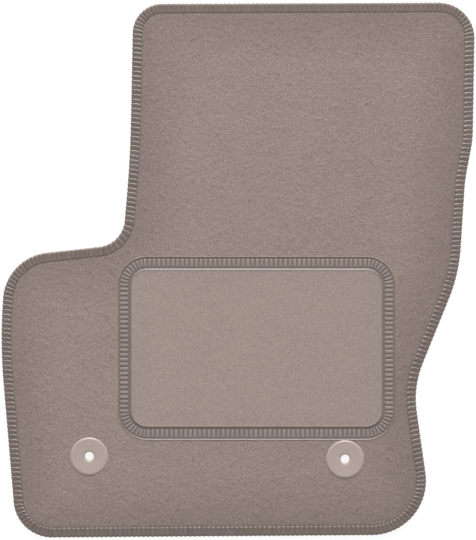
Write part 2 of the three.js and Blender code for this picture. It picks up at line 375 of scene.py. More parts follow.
def strands(name, centres, sides, ups, section, widths, heights, material, lean=0.0):
    """Many yarns at once. Each follows its row of centres; the section is scaled at each step.

    The section lists its points counterclockwise, seen with sides to the right and ups upwards.
    Lean pushes its crest sideways, as a share of its width.
    """
    count, steps = centres.shape[:2]
    points = len(section)
    travel = np.gradient(centres, axis=1)
    if np.sum(np.cross(sides, ups) * travel) < 0:
        section = section[::-1]
    lean = np.broadcast_to(lean, (count, steps))[..., None]
    slant = section[:, 0] + lean * np.clip(section[:, 1], 0, 1)
    across = slant[..., None] * widths[:, :, None, None]
    rise = section[:, 1][None, None, :, None] * heights[:, :, None, None]
    body = centres[:, :, None] + sides[:, :, None] * across + ups[:, :, None] * rise
    ends = centres[:, [0, -1]]
    verts = np.vstack([body.reshape(-1, 3), ends.reshape(-1, 3)])
    here = np.arange(count * steps * points).reshape(count, steps, points)
    beside = np.roll(here, -1, axis=2)
    quads = np.stack([here[:, :-1], beside[:, :-1], beside[:, 1:], here[:, 1:]], axis=-1)
    tips = np.repeat(here.size + np.arange(2 * count).reshape(count, 2, 1), points, 2)
    low_caps = np.stack([tips[:, 0], beside[:, 0], here[:, 0]], axis=-1)
    high_caps = np.stack([tips[:, 1], here[:, -1], beside[:, -1]], axis=-1)
    tris = np.concatenate([low_caps, high_caps])
    piece = make_piece(name, verts, quads, tris, material)
    ids = rng.random(count)
    zeros = np.zeros(2 * count)
    for key, values, at_ends in (
        ("along", np.linspace(0, 1, steps)[:, None], zeros),
        ("strand", ids[:, None, None], np.repeat(ids, 2)),
        ("across", section[:, 0], zeros),
        ("lift", section[:, 1], zeros),
    ):
        whole = np.broadcast_to(values, (count, steps, points)).ravel()
        store(piece, key, np.concatenate([whole, at_ends]))
    return piece


def across_threads(threads, points_each):
    """Points across a section 1 wide, and how far each is from its thread's edges, 0 to 1."""
    x = np.linspace(-0.5, 0.5, threads * points_each + 1)
    return x, np.abs(np.sin(np.pi * threads * (x + 0.5)))


def closed_section(x, top, base_half, floor):
    """The section's top, closed by a flat base below it."""
    upper = np.column_stack([x, top])
    lower = np.array([[-base_half, floor], [0.0, floor], [base_half, floor]])
    return np.vstack([upper[::-1], lower])


def bundle(threads, points_each, roundness, groove):
    """Section of a flat bundle of parallel threads: 1 wide and 1 high."""
    x, ripple = across_threads(threads, points_each)
    top = np.maximum(1 - np.abs(2 * x) ** roundness, 0) ** (1 / roundness)
    top = top * (1 - groove * (1 - ripple))
    return closed_section(x, np.maximum(top, 0.02), 0.36, -0.45)


def shingle(threads, points_each, groove):
    """Section of a turn that swells between its neighbours, with its threads' fine grooves."""
    x, ripple = across_threads(threads, points_each)
    top = 0.5 + 0.5 * np.cos(2 * np.pi * x) - groove * (1 - ripple)
    return closed_section(x, top + groove, 0.4, -0.8)


def regular_polygon(sides):
    angle = np.arange(sides) * 2 * np.pi / sides
    return np.column_stack([np.cos(angle), np.sin(angle)])


def turned(name, centre, corners, material, relief=None):
    """A ring turned about a vertical axis, from a closed profile of (radius, height, rounding).

    The relief may move its points, which it gets as radii, heights and angles.
    """
    profile, _ = rounded_loop(corners, PROFILE_STEP)
    apart = np.linalg.norm(profile - np.roll(profile, 1, axis=0), axis=1)
    profile = profile[apart > SAME_POINT]
    segments = TURNED_SEGMENTS
    angle = np.arange(segments) * 2 * np.pi / segments
    radius = np.broadcast_to(profile[:, 0], (segments, len(profile)))
    height = np.broadcast_to(profile[:, 1], (segments, len(profile)))
    if relief:
        radius, height = relief(radius, height, angle[:, None])
    verts = np.stack([
        centre[0] + radius * np.cos(angle)[:, None],
        centre[1] + radius * np.sin(angle)[:, None],
        height,
    ], axis=-1).reshape(-1, 3)
    return make_piece(name, verts, wrapped_quads(segments, len(profile)), (), material)


# ---- Materials ----

class Surface:
    """A Principled material with short ways to add procedural nodes."""

    def __init__(self, name, roughness, **constants):
        self.material = bpy.data.materials.new(name)
        self.material.use_nodes = True
        self.tree = self.material.node_tree
        self.shader = self.tree.nodes["Principled BSDF"]
        self.shader.inputs["Roughness"].default_value = roughness
        for key, value in constants.items():
            self.shader.inputs[key.replace("_", " ")].default_value = value
        self.place = self.tree.nodes.new("ShaderNodeTexCoord").outputs["Object"]

    def node(self, kind, inputs=(), **settings):
        node = self.tree.nodes.new(kind)
        for key, value in settings.items():
            setattr(node, key, value)
        for key, value in dict(inputs).items():
            if isinstance(value, bpy.types.NodeSocket):
                self.tree.links.new(value, node.inputs[key])
            else:
                node.inputs[key].default_value = value
        return node

    def noise(self, size, detail=2.0, roughness=0.5, vector=None):
        """Noise from 0 to 1 with features of that size in millimetres."""
        inputs = {
            "Vector": vector or self.place,
            "Scale": 1 / (size * MM),
            "Detail": detail,
            "Roughness": roughness,
        }
        return self.node("ShaderNodeTexNoise", inputs).outputs["Fac"]

    def stretched(self, x, y):
        """Object coordinates scaled along X and Y, for noise with a direction."""
        mapping = self.node("ShaderNodeMapping", {"Vector": self.place, "Scale": (x, y, 1)})
        return mapping.outputs["Vector"]

    def attribute(self, name):
        return self.node("ShaderNodeAttribute", attribute_name=name).outputs["Fac"]

    def math(self, operation, a, b=0.0):
        return self.node("ShaderNodeMath", {0: a, 1: b}, operation=operation).outputs[0]

    def between(self, factor, low, high):
        """Maps 0..1 to low..high."""
        return self.math("ADD", self.math("MULTIPLY", factor, high - low), low)

    def mix(self, factor, a, b):
        """A blend of two colours."""
        node = self.node("ShaderNodeMix", data_type="RGBA")
        for socket, value in zip((node.inputs[0], node.inputs[6], node.inputs[7]), (factor, a, b)):
            if isinstance(value, bpy.types.NodeSocket):
                self.tree.links.new(value, socket)
            elif socket == node.inputs[0]:
                socket.default_value = value
            else:
                socket.default_value = (*value, 1)
        return node.outputs[2]

    def scaled(self, color, factor):
        """A colour times a number."""
        node = self.node("ShaderNodeVectorMath", {0: color, "Scale": factor}, operation="SCALE")
        return node.outputs[0]

    def color(self, socket):
        self.tree.links.new(socket, self.shader.inputs["Base Color"])

    def bump(self, height, strength, depth, below=None):
        """Bump of that depth in millimetres."""
        inputs = {"Height": height, "Strength": strength, "Distance": depth * MM}
        if below:
            inputs["Normal"] = below
        return self.node("ShaderNodeBump", inputs).outputs["Normal"]

    def normal(self, socket):
        self.tree.links.new(socket, self.shader.inputs["Normal"])


def shade(color, factor):
    return tuple(c * factor for c in color)


VELOUR = (0.291, 0.231, 0.206)
PAD = (0.326, 0.261, 0.232)
YARN = (0.174, 0.132, 0.114)
BORDER = (0.268, 0.213, 0.191)
# The underlay is a darker stitch. Its colour is darkened further as painted shade in the channels and
# between the ribs.
UNDERLAY = (0.178, 0.137, 0.119)
PLASTIC = (0.415, 0.34, 0.307)


def velour_material():
    s = Surface("velour", 0.95, Sheen_Weight=0.15, Sheen_Roughness=0.45, Specular_IOR_Level=0.15)
    tips = s.noise(0.55, 2, 0.6)
    tufts = s.noise(1.5, 1, 0.5)
    patches = s.noise(60, 3, 0.5)
    color = s.mix(tips, shade(VELOUR, 0.8), shade(VELOUR, 1.2))
    color = s.scaled(color, s.between(tufts, 0.33, 1.67))
    color = s.scaled(color, s.between(patches, 0.95, 1.05))
    # The shading attribute holds the painted shade towards the overlock.
    s.color(s.scaled(color, s.attribute("shading")))
    fine = s.bump(s.noise(0.45, 3, 0.7), 0.7, 0.35)
    s.normal(s.bump(s.noise(1.6, 2, 0.6), 0.5, 0.5, fine))
    return s.material


def pad_material():
    s = Surface("heel_pad_textile", 0.9, Sheen_Weight=0.2, Sheen_Roughness=0.4, Specular_IOR_Level=0.2)
    fibres = s.noise(0.5, 3, 0.65, s.stretched(0.45, 1.3))
    cross = s.noise(0.5, 3, 0.65, s.stretched(1.3, 0.45))
    felt = s.math("ADD", s.math("MULTIPLY", fibres, 0.5), s.math("MULTIPLY", cross, 0.5))
    color = s.mix(felt, shade(PAD, 0.7), shade(PAD, 1.3))
    color = s.scaled(color, s.between(s.noise(1.3, 1), 0.6, 1.4))
    color = s.scaled(color, s.between(s.noise(35, 3), 0.97, 1.03))
    s.color(s.scaled(color, s.attribute("shading")))
    s.normal(s.bump(felt, 0.6, 0.3))
    return s.material


def yarn_material(name, base, gloss, lines, groove):
    """Spun yarn: fine lines along each turn. Its colour falls to the groove's share low down, as
    painted shade in the hollows between and under the turns.
    """
    s = Surface(name, gloss, Sheen_Weight=0.1, Sheen_Roughness=0.4, Specular_IOR_Level=0.7)
    across, along = s.attribute("across"), s.attribute("along")
    spot = s.node("ShaderNodeCombineXYZ", {
        0: s.math("MULTIPLY", across, lines),
        1: s.math("MULTIPLY", along, 3.0),
        2: s.math("MULTIPLY", s.attribute("strand"), 40.0),
    })
    fibre = s.node("ShaderNodeTexNoise", {"Vector": spot.outputs[0], "Scale": 1.0, "Detail": 3.0})
    color = s.mix(fibre.outputs["Fac"], shade(base, 0.72), shade(base, 1.28))
    color = s.scaled(color, s.between(s.attribute("strand"), 0.94, 1.06))
    # Painted shade: the colour darkens towards the low parts of each section, down to the groove's
    # share.
    depth = s.node("ShaderNodeMapRange", {
        "Value": s.attribute("lift"),
        "From Min": -0.1,
        "From Max": 0.75,
        "To Min": groove,
        "To Max": 1.0,
    })
    s.color(s.scaled(color, depth.outputs[0]))
    fuzz = s.bump(s.noise(0.35, 2, 0.6), 0.35, 0.15)
    s.normal(s.bump(fibre.outputs["Fac"], 0.5, 0.25, fuzz))
    return s.material


def underlay_material():
    """Smooth dense stitches under the ribs and over the lips."""
    s = Surface("border_underlay", 0.35, Sheen_Weight=0.1, Specular_IOR_Level=0.7)
    turns = s.math("SINE", s.math("MULTIPLY", s.attribute("travel"), 2 * math.pi / UNDERLAY_PITCH))
    threads = s.between(turns, 0.5, 1.0)
    fuzz = s.noise(0.4, 3, 0.6)
    color = s.mix(fuzz, shade(UNDERLAY, 0.85), shade(UNDERLAY, 1.25))
    s.color(s.scaled(color, s.between(threads, 0.87, 1.05)))
    s.normal(s.bump(threads, 0.6, 0.08, s.bump(fuzz, 0.3, 0.05)))
    return s.material


def thread_material():
    s = Surface("sewing_thread", 0.6, Sheen_Weight=0.1, Specular_IOR_Level=0.5)
    twist = s.node("ShaderNodeTexWave", {"Vector": s.place, "Scale": 1400.0, "Distortion": 2.0},
                   bands_direction="DIAGONAL")
    s.color(s.mix(twist.outputs["Fac"], shade(YARN, 0.8), shade(YARN, 1.5)))
    s.normal(s.bump(twist.outputs["Fac"], 0.4, 0.1))
    return s.material


def plastic_material(name, base, roughness):
    s = Surface(name, roughness, Specular_IOR_Level=0.5)
    s.color(s.mix(s.noise(9, 3), shade(base, 0.97), shade(base, 1.03)))
    s.normal(s.bump(s.noise(0.3, 2), 0.12, 0.05))
    rough = s.between(s.noise(1.1, 3), roughness - 0.05, roughness + 0.05)
    s.tree.links.new(rough, s.shader.inputs["Roughness"])
    return s.material


def rubber_material(name, base, grain):
    s = Surface(name, 0.8, Specular_IOR_Level=0.35)
    s.color(s.mix(s.noise(grain, 3, 0.65), shade(base, 0.7), shade(base, 1.5)))
    s.normal(s.bump(s.noise(grain * 0.5, 3, 0.6), 0.5, 0.2))
    return s.material


def scrim_material():
    s = Surface("scrim", 0.9, Specular_IOR_Level=0.2)
    web = s.noise(0.8, 4, 0.7, s.stretched(0.4, 1.5))
    s.color(s.mix(web, (0.42, 0.40, 0.36), (0.62, 0.58, 0.53)))
    s.normal(s.bump(web, 0.5, 0.1))
    return s.material


def steel_material():
    s = Surface("spring_steel", 0.3, Metallic=1.0)
    draw = s.noise(0.4, 3, 0.6, s.stretched(0.2, 2.0))
    s.color(s.mix(draw, (0.50, 0.50, 0.51), (0.68, 0.68, 0.69)))
    s.normal(s.bump(draw, 0.15, 0.03))
    return s.material


velour = velour_material()
pad_textile = pad_material()
# The last number is the share that each yarn's painted groove shade leaves of its colour low down.
edge_yarn = yarn_material("edge_yarn", YARN, 0.36, 16.0, 0.95)
border_yarn = yarn_material("border_yarn", BORDER, 0.5, 18.0, 0.55)
underlay = underlay_material()
sewing_thread = thread_material()
fixing_plastic = plastic_material("fixing_plastic", PLASTIC, 0.32)
dark_plastic = plastic_material("lower_disc_plastic", (0.03, 0.029, 0.028), 0.45)
rubber = rubber_material("anti_slip_rubber", (0.022, 0.021, 0.020), 1.2)
heavy = rubber_material("heavy_layer", (0.035, 0.033, 0.031), 2.5)
steel = steel_material()

for node, material in (("primary_backing", scrim_material()), ("heavy_layer", heavy)):
    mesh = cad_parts[node].data
    mesh.materials.clear()
    mesh.materials.append(material)


# ---- Camera, floor and light ----

FRAME_HEIGHT = 0.708        # metres of mat that fill the picture from top to bottom
LIGHT_DISTANCE = 8.0        # metres from the mat to the softbox
LIGHT_HALF_ANGLE = math.radians(20)
LIGHT_ELEVATION = math.radians(27)
LIGHT_POWER = 883.83        # watts


def make_camera():
    """Straight above the mat, from far enough away to be almost without perspective."""
    data = bpy.data.cameras.new("camera")
    data.lens = 200
    data.sensor_width = 36
    camera = bpy.data.objects.new("camera", data)
    bpy.context.scene.collection.objects.link(camera)
    camera.location = (0, 0, cad_high[2] + FRAME_HEIGHT * data.lens / data.sensor_width)
    bpy.context.scene.camera = camera


def make_stage():
    """A pale floor that curves up far away, so that no view shows its edge."""
    profile = [(0, 0), (8.0, 0), (8.4, 0.03), (8.7, 0.12), (8.9, 0.3), (9.0, 0.6), (9.05, 1.6)]
    segments = 96
    sunk = 0.0003           # metres, so that the mat's underside doesn't flicker against it
    verts, faces = [], []
    for radius, height in profile:
        for i in range(segments):
            angle = i * 2 * math.pi / segments
            verts.append((radius * math.cos(angle), radius * math.sin(angle), height - sunk))
    for ring in range(len(profile) - 1):
        for i in range(segments):
            a, b = ring * segments + i, ring * segments + (i + 1) % segments
            faces.append((a, a + segments, b + segments, b))
    mesh = bpy.data.meshes.new("floor")
    mesh.from_pydata(verts, [], faces)
    floor = bpy.data.objects.new("floor", mesh)
    bpy.context.scene.collection.objects.link(floor)
    s = Surface("pale_floor", 0.9, Specular_IOR_Level=0.0)
    s.shader.inputs["Base Color"].default_value = (0.3, 0.3, 0.3, 1)
    s.shader.inputs["Emission Color"].default_value = (1, 1, 1, 1)
    s.shader.inputs["Emission Strength"].default_value = 0.84
    mesh.materials.append(s.material)


def make_light():
    """Pale surroundings and one low softbox past the pedal end, so that slopes to +Y shine."""
    world = bpy.data.worlds.new("studio")
    world.use_nodes = True
    background = world.node_tree.nodes["Background"]
    background.inputs["Color"].default_value = (1, 1, 1, 1)
    background.inputs["Strength"].default_value = 0.5
    bpy.context.scene.world = world
    data = bpy.data.lights.new("softbox", "AREA")
    data.shape = "DISK"
    data.size = 2 * LIGHT_DISTANCE * math.tan(LIGHT_HALF_ANGLE)
    data.energy = LIGHT_POWER
    light = bpy.data.objects.new("softbox", data)
    direction = Vector((0, math.cos(LIGHT_ELEVATION), math.sin(LIGHT_ELEVATION)))
    light.location = direction * LIGHT_DISTANCE
    light.rotation_mode = "QUATERNION"
    light.rotation_quaternion = direction.to_track_quat("Z", "Y")
    bpy.context.scene.collection.objects.link(light)


make_camera()
make_stage()
make_light()
bpy.context.scene.view_settings.view_transform = "Standard"


# ---- Velour carpet ----

def fixing_centre(side):
    low, high = node_box(f"{side}_fixing_upper_disc")
    return (low[:2] + high[:2]) / 2


FIXINGS = {side: fixing_centre(side) for side in ("left", "right")}
disc_low, disc_high = node_box("left_fixing_upper_disc")
DISC_RADIUS = (disc_high[0] - disc_low[0]) / 2
SHAFT_HOLE = 12.3           # radius of the hole through the layers for a fixing's barrel
HOLE_POINTS = 48

# Rings of points beside the pile's slopes: insets from the mat's outline, distances inside the
# border's outer line, and distances outside a disc's rim.
EDGE_RINGS = (5, 8, 11, 12, 12.5, 13, 13.5, 14.4, 16)
BORDER_RINGS = (3, 1.6, 1.1, 0.8, 0.5, 0.2, -0.2, -0.7, -1.2, -1.8, -2.8)
DISC_RINGS = (-7, -2.4, -1.3, -0.8, -0.4, 0.4, 1.2, 2.4)
FREE_OF_EDGE = 17.4         # the pile's even points keep this far from the outline
FREE_OF_BORDER = 3.8        # from the border
FREE_OF_DISC = 3.6          # and from a disc's rim
HIDDEN_STEP = 7.0           # spacing of the points under the heel pad
CARPET_OUTLINE_STEP = 2.2   # spacing of the points along its cut edge


def circle(centre, radius, count):
    return centre + radius * regular_polygon(count)


def fixing_distance(xy):
    """How far each point lies from the nearer fixing's centre."""
    return np.min([np.linalg.norm(xy - centre, axis=1) for centre in FIXINGS.values()], axis=0)


def fixing_holes():
    return [circle(centre, SHAFT_HOLE, HOLE_POINTS) for centre in FIXINGS.values()]


def jittered_grid(low, high, step, jitter=0.32):
    """Rows of a triangular grid, shaken a little so that no rows show."""
    rows = np.arange(low[1], high[1], step * math.sqrt(3) / 2)
    points = []
    for i, y in enumerate(rows):
        x = np.arange(low[0] + (i % 2) * step / 2, high[0], step)
        points.append(np.column_stack([x, np.full(len(x), y)]))
    grid = np.vstack(points)
    return grid + rng.uniform(-jitter, jitter, grid.shape) * step


def carpet_height(xy):
    """Top of the pile. It dips under the overlock, the heel pad's border and the discs."""
    edge = edge_distance(xy)
    out = border_distance(xy)
    disc = fixing_distance(xy)
    drop = PILE_TOP - PRESSED_PILE
    z = np.full(len(xy), PILE_TOP)
    z -= EDGE_SAG * (1 - smooth(edge, BAND - 2, BAND + 26))
    z -= EDGE_TUCK * (1 - smooth(edge, BAND, BAND + 4))
    z -= drop * (1 - smooth(edge, BAND - 0.7, BAND + 0.6))
    z += (PILE_BEAD + BEAD_TURN * border_facing(xy)) * bell(out, -0.4, 0.8)
    z -= (drop + PILE_BEAD) * (1 - smooth(out, -1.2, -0.35))
    z -= (drop + 0.6) * (1 - smooth(disc, DISC_RADIUS - 1.3, DISC_RADIUS - 0.4))
    return np.maximum(z, PRESSED_LEAST)


def carpet_noise(xy):
    """Fibre grain and soft lumps, weaker where the pile is pressed."""
    free = smooth(edge_distance(xy), BAND, BAND + 3) * smooth(border_distance(xy), -0.5, 2)
    free = free * smooth(fixing_distance(xy), DISC_RADIUS - 0.5, DISC_RADIUS + 2)
    grain = rng.normal(0, 0.17, len(xy))
    lumps = 0.10 * hash_noise(xy, 5.0, 3) + 0.12 * hash_noise(xy, 17.0, 4)
    return (grain + lumps) * (0.25 + 0.75 * free)


def slope_points():
    """Rows of points that follow the pile's slopes."""
    rings = [mat.ring(inset, PILE_RIM_STEP) for inset in EDGE_RINGS]
    rings += [border.ring(inset, PILE_RIM_STEP) for inset in BORDER_RINGS]
    for centre in FIXINGS.values():
        for radius in DISC_RADIUS + np.array(DISC_RINGS):
            rings.append(circle(centre, radius, int(radius * 3.2)))    # about 2 mm apart
    points = np.vstack(rings)
    in_use = (fixing_distance(points) > 16) & (border_distance(points) > -3.5)
    return points[in_use]


def pile_points():
    fine = jittered_grid(mat.points.min(0), mat.points.max(0), PILE_STEP)
    fine = fine[border_distance(fine) > FREE_OF_BORDER]
    fine = fine[fixing_distance(fine) > DISC_RADIUS + FREE_OF_DISC]
    fine = fine[inside_mat(fine, FREE_OF_EDGE)]
    hidden = jittered_grid(*border_box, HIDDEN_STEP, 0.1)
    hidden = hidden[border_distance(hidden) < -5]
    points = np.vstack([slope_points(), fine, hidden])
    clear_of_hole = np.abs(fixing_distance(points) - SHAFT_HOLE) > 0.5
    return points[clear_of_hole]


def make_carpet():
    loops = [mat.ring(LAYER_INSET, CARPET_OUTLINE_STEP), *fixing_holes()]

    def top(xy):
        return carpet_height(xy) + carpet_noise(xy)

    piece, verts = layer("velour_pile", loops, pile_points(), top, pile_low[2], velour)
    # Painted shade: the pile's colour darkens towards the overlock. It also darkens towards the tunnel
    # side.
    lighter_inward = np.clip((edge_distance(verts[:, :2]) - BAND) / EDGE_SHADE_REACH, 0, 1)
    shading = EDGE_SHADE + (1 - EDGE_SHADE) * lighter_inward - SIDE_SHADE * verts[:, 0] / HALF_WIDTH
    store(piece, "shading", shading)
    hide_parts("velour_carpet")
    return piece


carpet = make_carpet()


# ---- Heel pad ----

PANEL_TOP = pad_high[2] - 0.2
PANEL_SEAM = 8.0            # its height under the border
PANEL_LEAST = 7.95          # and the lowest that its grain may reach
PANEL_BEAD = 0.5            # the panel bulges this much beside the border
PANEL_BEAD_TURN = 0.15      # and this much less, or more, where the border faces +Y, or -Y
PANEL_RINGS = (-3, -1, 0.3, 0.6, 0.9, 1.2, 1.6, 2.1, 2.7, 3.4, 4.4)  # from the border's inside
PANEL_MIDDLE_LIFT = 0.03           # its middle is lighter than beside the border by this share of its colour
PANEL_SIDE_SHADE = 0.02     # how much it darkens from the mat's middle over its half-width
PANEL_HALF_WIDTH = 180
PANEL_STEP = 2.0            # spacing of its points
PANEL_OUTLINE_STEP = 2.6
TONGUE = 6.0                # the pad's thin rim ends this far inside the border's line


def panel_height(xy):
    """The panel swells beside its seam and is nearly flat in the middle."""
    inside = -border_distance(xy) - BORDER_WIDTH
    z = np.full(len(xy), PANEL_TOP)
    z += (PANEL_BEAD - PANEL_BEAD_TURN * border_facing(xy)) * bell(inside, 1.0, 0.9)
    z -= (PANEL_TOP + PANEL_BEAD - PANEL_SEAM) * (1 - smooth(inside, 0.4, 1.3))
    grain = rng.normal(0, 0.05, len(xy)) + 0.1 * hash_noise(xy, 9.0, 7)
    return np.maximum(z + grain, PANEL_LEAST)


def make_heel_pad():
    outer = border.ring(TONGUE, PANEL_OUTLINE_STEP)
    rings = [border.ring(BORDER_WIDTH + inset, PANEL_STEP) for inset in PANEL_RINGS]
    fine = jittered_grid(*border_box, PANEL_STEP)
    fine = fine[border_distance(fine) < -(BORDER_WIDTH + PANEL_RINGS[-1] + 1)]
    points = np.vstack(rings + [fine])
    bottom = pad_low[2] + 0.05
    piece, verts = layer("heel_pad_panel", [outer], points, panel_height, bottom, pad_textile)
    inside = -border_distance(verts[:, :2]) - BORDER_WIDTH
    lighter_inward = PANEL_MIDDLE_LIFT * smooth(inside, 3, 40)
    shading = 1 - PANEL_MIDDLE_LIFT + lighter_inward - PANEL_SIDE_SHADE * verts[:, 0] / PANEL_HALF_WIDTH
    store(piece, "shading", shading)
    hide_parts("heel_pad")
    return piece


heel_pad = make_heel_pad()


# ---- Yarn along loops ----

def wrap_frames(loop, positions, path, lean):
    """Centres, side and up directions for turns that follow (inset, height) paths across a loop."""
    count, steps = len(positions), len(path)
    inset, height = path[:, 0], path[:, 1]
    spread = positions[:, None] + lean[:, None] * (inset - inset.mean())[None]
    where = loop.at(spread, np.broadcast_to(inset, (count, steps)))
    centres = np.concatenate([where, np.broadcast_to(height, (count, steps))[..., None]], axis=-1)
    inward = loop.inward(positions)
    sides = np.stack([-inward[:, 1], inward[:, 0], np.zeros(count)], axis=-1)
    sides = np.repeat(sides[:, None], steps, 1)
    travel = unit(np.gradient(centres, axis=1))
    return centres, sides, unit(np.cross(travel, sides))


def evenly(line, steps):
    """Evenly spaced points along a line of points."""
    spans = np.concatenate([[0], np.cumsum(np.linalg.norm(np.diff(line, axis=0), axis=1))])
    places = np.linspace(0, spans[-1], steps)
    return np.column_stack([np.interp(places, spans, line[:, i]) for i in range(2)])


def smooth_path(points, steps):
    """Evenly spaced points on a curve that rounds the corners of the given line."""
    fine = evenly(np.array(points, float), 200)
    reach = 15
    kernel = np.hanning(2 * reach + 1)
    kernel /= kernel.sum()
    padded = np.pad(fine, ((reach, reach), (0, 0)), "edge")
    soft = np.column_stack([np.convolve(padded[:, i], kernel, "valid") for i in range(2)])
    return evenly(soft, steps)


def spacing(centres):
    """Distance between neighbouring turns at each step along them."""
    ahead, behind = np.roll(centres, -1, axis=0), np.roll(centres, 1, axis=0)
    return np.linalg.norm(ahead - behind, axis=-1) / 2


def turns_along(loop, pitch):
    """Evenly spaced places along a loop, about that far apart."""
    count = int(round(loop.length / pitch))
    return (np.arange(count) + 0.5) * loop.length / count


def make_upper_yarn():
    """Turns laid like shingles, leaning towards +Y. Their inner ends slope down to the pile.

    Two pieces hold every other turn each, since one would pass 200,000 faces.
    """
    positions = turns_along(mat, EDGE_PITCH)
    count = len(positions)
    positions = positions + rng.normal(0, 0.08, count)
    path = smooth_path([
        (BAND + 1.6, 8.1), (BAND + 1.0, 8.55), (BAND - 0.4, 8.66), (9.0, 8.68), (6.0, 8.68),
        (2.2, 8.65), (1.2, 8.2), (0.65, 7.2), (0.45, 5.6), (0.75, 4.6), (1.5, 3.9),
    ], 22)
    inset = path[:, 0]
    centres, sides, ups = wrap_frames(mat, positions, path, np.zeros(count))
    overlap = 1.03
    widths = overlap * spacing(centres)
    swell = 1 - smooth(inset, SWELL_END, BAND + 0.3)
    swell = swell * (1 + END_BULB * bell(inset, SWELL_END - 0.6, 1.5))
    heights = TURN_HEIGHT * (0.1 + 0.9 * swell[None]) * rng.normal(1, 0.05, (count, 1))
    lean = TURN_LEAN * sides[:, :, 1] * (1 - smooth(inset, *LEAN_FADE))
    section = shingle(5, 3, 0.14)
    pieces = []
    for i, name in enumerate(("overlock_upper_yarn_1", "overlock_upper_yarn_2")):
        turns = slice(i, None, 2)
        piece = strands(name, centres[turns], sides[turns], -ups[turns], section, widths[turns],
                        heights[turns], edge_yarn, lean[turns])
        pieces.append(piece)
    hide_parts("edge_upper_yarn")
    return pieces


def make_lower_yarn():
    """Turns that hold the lower half of the edge and reach in over the underside."""
    positions = turns_along(mat, EDGE_PITCH)
    count = len(positions)
    path = smooth_path([
        (1.4, 5.0), (0.8, 4.0), (0.8, 2.6), (1.9, 1.4),
        (4.2, 0.95), (7.5, 0.9), (9.6, 1.05), (10.2, 1.5),
    ], 11)
    centres, sides, ups = wrap_frames(mat, positions, path, rng.normal(0, 0.03, count))
    taper = np.array([0.97, *[1] * 7, 0.96, 0.8, 0.5])
    widths = 0.985 * taper[None] * spacing(centres)
    heights = 0.8 * (0.5 + 0.5 * taper[None]) * rng.normal(1, 0.03, (count, 1))
    section = bundle(4, 2, 2.3, 0.16)
    piece = strands("overlock_lower_yarn", centres, sides, -ups, section, widths, heights, edge_yarn)
    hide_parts("edge_lower_yarn")
    return piece


def make_needle_thread():
    """A row of short stitches along the band's inner side, each an arch between two holes."""
    length, rise, radius = 4.4, 0.5, 0.35
    positions = turns_along(mat, EDGE_PITCH)
    positions = positions + mat.length / len(positions) / 2
    t = np.linspace(-0.5, 0.5, 7)
    spread = positions[:, None] + (t * length)[None]
    where = mat.at(spread, np.full(spread.shape, BAND - 1.2))
    height = np.broadcast_to(8.3 + rise * np.cos(np.pi * t), spread.shape)
    centres = np.concatenate([where, height[..., None]], axis=-1)
    travel = unit(np.gradient(centres, axis=1))
    sides = unit(np.cross(travel, (0, 0, 1)))
    ups = np.cross(sides, travel)
    size = np.full(spread.shape, radius) * np.clip(1.25 - np.abs(t) * 1.2, 0.5, 1)[None]
    piece = strands("overlock_needle_thread", centres, sides, ups, regular_polygon(8), size, size,
                    edge_yarn)
    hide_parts("edge_needle_thread")
    return piece


upper_yarns = make_upper_yarn()
lower_yarn = make_lower_yarn()
needle_thread = make_needle_thread()


# ---- Heel pad border ----

def make_border_ribs():
    """Satin-stitched ribs across the border, each a flat bundle that narrows at its ends."""
    positions = turns_along(border, BORDER_PITCH)
    count, steps = len(positions), 15
    end = RIB_START + RIB_LENGTH
    path = smooth_path([
        (RIB_START - 0.2, RIB_BASE - 0.22),
        (RIB_START + 0.2, RIB_BASE - 0.04),
        (RIB_START + 1.0, RIB_BASE),
        (RIB_START + RIB_LENGTH / 2, RIB_BASE),
        (end - 1.0, RIB_BASE),
        (end - 0.2, RIB_BASE - 0.04),
        (end + 0.2, RIB_BASE - 0.22),
    ], steps)
    centres, sides, ups = wrap_frames(border, positions, path, rng.normal(0, 0.015, count))
    pinch = 1 - 0.2 * np.abs(np.linspace(-1, 1, steps)) ** 6
    widths = RIB_SHARE * pinch[None] * spacing(centres) * rng.normal(1, 0.025, (count, 1))
    heights = 0.65 * pinch[None] * rng.normal(1, 0.05, (count, 1))
    section = bundle(5, 3, 3.0, 0.12)
    return strands("heel_pad_satin_stitch", centres, sides, ups, section, widths, heights,
                   border_yarn)


def make_border_ground():
    """Underlay below the ribs. A rolled lip on each side holds the carpet's and the pad's edge."""
    outer_lip = [0.0, 0.0, 0.15, 0.5, 1.0, 1.6]
    channel_floor = [2.3, 5.5, 8.2, 11.0]
    inner_lip = [15.2, 15.8, 16.4, 17.0, 17.5, 17.8]
    underside = [17.9, 17.9, 0.0]
    insets = np.array(outer_lip + channel_floor + inner_lip + underside)
    rise = [0.0, 0.15, 0.5, 0.88, 1.0, 0.85]    # of a lip, from the channel to its outside
    outer_rise = np.array([0.0, *rise[::-1], *[0.0] * 12])
    inner_rise = np.array([*[0.0] * 10, *rise, *[0.0] * 3])
    step = 1.5
    count = int(round(border.length / step))
    where = np.arange(count) * border.length / count
    grid = border.at(where[:, None], np.broadcast_to(insets, (count, len(insets))))
    facing = border_facing(grid[:, 0])[:, None]
    z = CHANNEL + outer_rise * (PILE_TOP + LIP_RISE - 0.25 * facing - CHANNEL)
    z += inner_rise * (PANEL_TOP + LIP_RISE + 0.1 * facing - CHANNEL)
    z[:, 0] = 7.6               # the outer lip's foot
    z[:, -3:] = 8.2, 7.55, 7.5  # the inner lip's foot and the closed underside
    verts = np.concatenate([grid, z[..., None]], axis=-1).reshape(-1, 3)
    quads = wrapped_quads(count, len(insets))
    piece = make_piece("heel_pad_border_underlay", verts, quads, (), underlay)
    store(piece, "travel", np.repeat(where, len(insets)))
    return piece


ribs = make_border_ribs()
ground = make_border_ground()
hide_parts("heel_pad_border")


# ---- Fixings ----

STUD_HOLE = 6.0             # radius of the hole for the vehicle's stud


